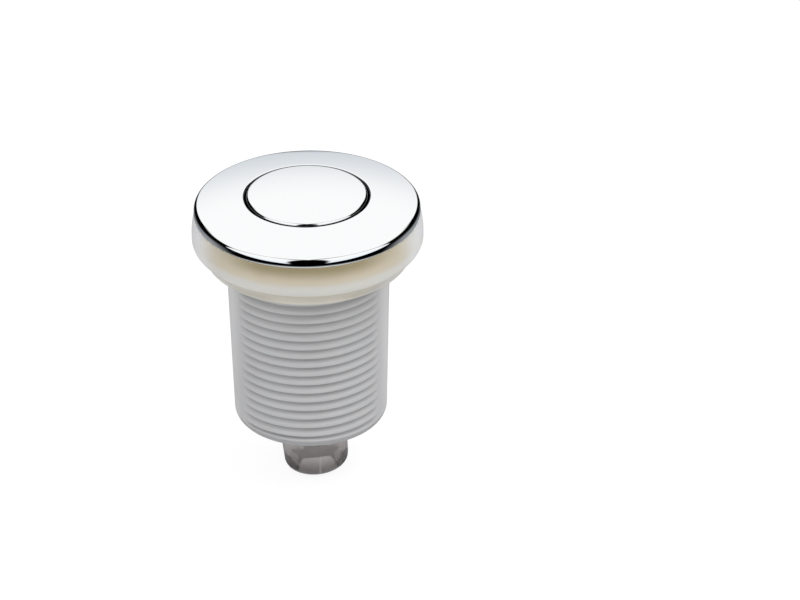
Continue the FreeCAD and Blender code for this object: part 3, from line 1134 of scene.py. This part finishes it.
def make_world(fill):
    """Even light for the object, white behind it, and a studio that only the plating mirrors.

    The studio has a white panel behind, dimmer towards the floor, a white ceiling, a large soft
    light on each side of the camera, and a pale floor far behind and just below. What lies
    between them is dark. A direction is (x, y, z), so each edge is a plane through the object,
    or a height.
    """
    world = bpy.data.worlds.new("studio")
    bpy.context.scene.world = world
    world.use_nodes = True
    paint = Paint(world.node_tree)
    seen, shiny, through = paint.rays()
    x, y, z = paint.split(paint.node("ShaderNodeTexCoord"))
    side = paint.size_of(x)
    panel = paint.step(y * 0.33 + z * 0.12 - side, -0.03, 0.03) * paint.step(z, -0.02, 0.05)
    panel = panel * (0.74 + paint.step(z, 0.0, 0.55) * 0.26)
    ceiling = paint.step(y, -0.06, 0.0) * paint.step(z, 0.55, 0.68)
    spread = paint.clamp(1 - side / 0.35) * 0.2
    lights = paint.step(y + spread, -0.07, -0.13) * paint.step(z - y * 0.71, 0.08, 0.16)
    lights = lights * paint.step(side + y * 0.42, -0.12, 0.0)
    floor_back = paint.step(y, -0.1, 0.5) * paint.step(z, 0.0, -0.6) * 0.31
    floor_back = floor_back * paint.step(side - y * 0.33, -0.05, 0.05)
    floor_near = paint.step(z, -0.66, -0.82) * 0.75
    mirror = paint.clamp(panel + ceiling + lights + floor_back + floor_near)
    tone = paint.mix(paint.step(z, 0.0, 0.5), (0.90, 0.945, 1.0), (1.0, 1.0, 1.0))
    glossy = paint.node("ShaderNodeBackground", None, {"Color": tone, "Strength": mirror})
    plain = paint.node(
        "ShaderNodeBackground", None, {"Color": (1, 1, 1, 1), "Strength": fill}
    )
    white = paint.node(
        "ShaderNodeBackground", None, {"Color": (1, 1, 1, 1), "Strength": 1.0}
    )
    part = paint.clamp(seen + through)
    both = paint.node("ShaderNodeMixShader", None, {0: part, 1: plain, 2: white})
    every = paint.node("ShaderNodeMixShader", None, {0: shiny, 1: both, 2: glossy})
    paint.node("ShaderNodeOutputWorld", None, {"Surface": every})


def aim(place, target):
    """Turns something at a place so that it looks at a target."""
    direction = Vector(target) - Vector(place)
    turn = direction.to_track_quat("-Z", "Y").to_matrix().to_4x4()
    return Matrix.Translation(place) @ turn


def make_lamps(power):
    """One broad soft lamp high on the right, and a weaker one on the left."""
    for name, place, size, watts in (
        ("lamp_right", (0.45, -0.25, 0.75), 0.6, power),
        ("lamp_left", (-0.5, -0.3, 0.55), 0.6, power * 0.4),
    ):
        light = bpy.data.lights.new(name, "AREA")
        light.size = size
        light.energy = watts
        lamp = bpy.data.objects.new(name, light)
        lamp.matrix_world = aim(place, (0, 0, -0.01))
        lamp.visible_glossy = False
        bpy.context.scene.collection.objects.link(lamp)


def make_camera(values):
    """Camera in front of the object, above it, turned a little about its own line of sight."""
    data = bpy.data.cameras.new("camera")
    data.lens = values.lens
    data.sensor_width = 36.0
    data.shift_x = SHIFT[0]
    data.shift_y = SHIFT[1]
    target = Vector((0, 0, LOOKED_AT))
    offset = Vector((0, -math.cos(values.elevation), math.sin(values.elevation)))
    place = target + offset * values.distance
    camera = bpy.data.objects.new("camera", data)
    camera.matrix_world = aim(place, target) @ Matrix.Rotation(ROLL, 4, "Z")
    bpy.context.scene.collection.objects.link(camera)
    bpy.context.scene.camera = camera


OPERATORS = (
    StageOperator,
    BarrelOperator,
    PlatingOperator,
    GasketOperator,
    OutletOperator,
    SpringOperator,
    BellowsOperator,
    InsideOperator,
)
GROUPS = (
    BarrelSizes,
    BezelSizes,
    GasketSizes,
    OutletSizes,
    ChamberSizes,
    StageSizes,
    ButtonSizes,
)


def register():
    for item in (*GROUPS, *OPERATORS, ButtonPanel):
        bpy.utils.register_class(item)
    bpy.types.Scene.push_button = PointerProperty(type=ButtonSizes)


def unregister():
    del bpy.types.Scene.push_button
    for item in reversed((*GROUPS, *OPERATORS, ButtonPanel)):
        bpy.utils.unregister_class(item)


def main():
    register()
    bpy.context.scene.view_settings.view_transform = "Standard"
    bpy.ops.push_button.stage()
    bpy.ops.push_button.barrel()
    bpy.ops.push_button.plating()
    bpy.ops.push_button.gasket()
    bpy.ops.push_button.outlet()
    bpy.ops.push_button.spring()
    bpy.ops.push_button.bellows()
    bpy.ops.push_button.inside()


if __name__ == "__main__":
    main()
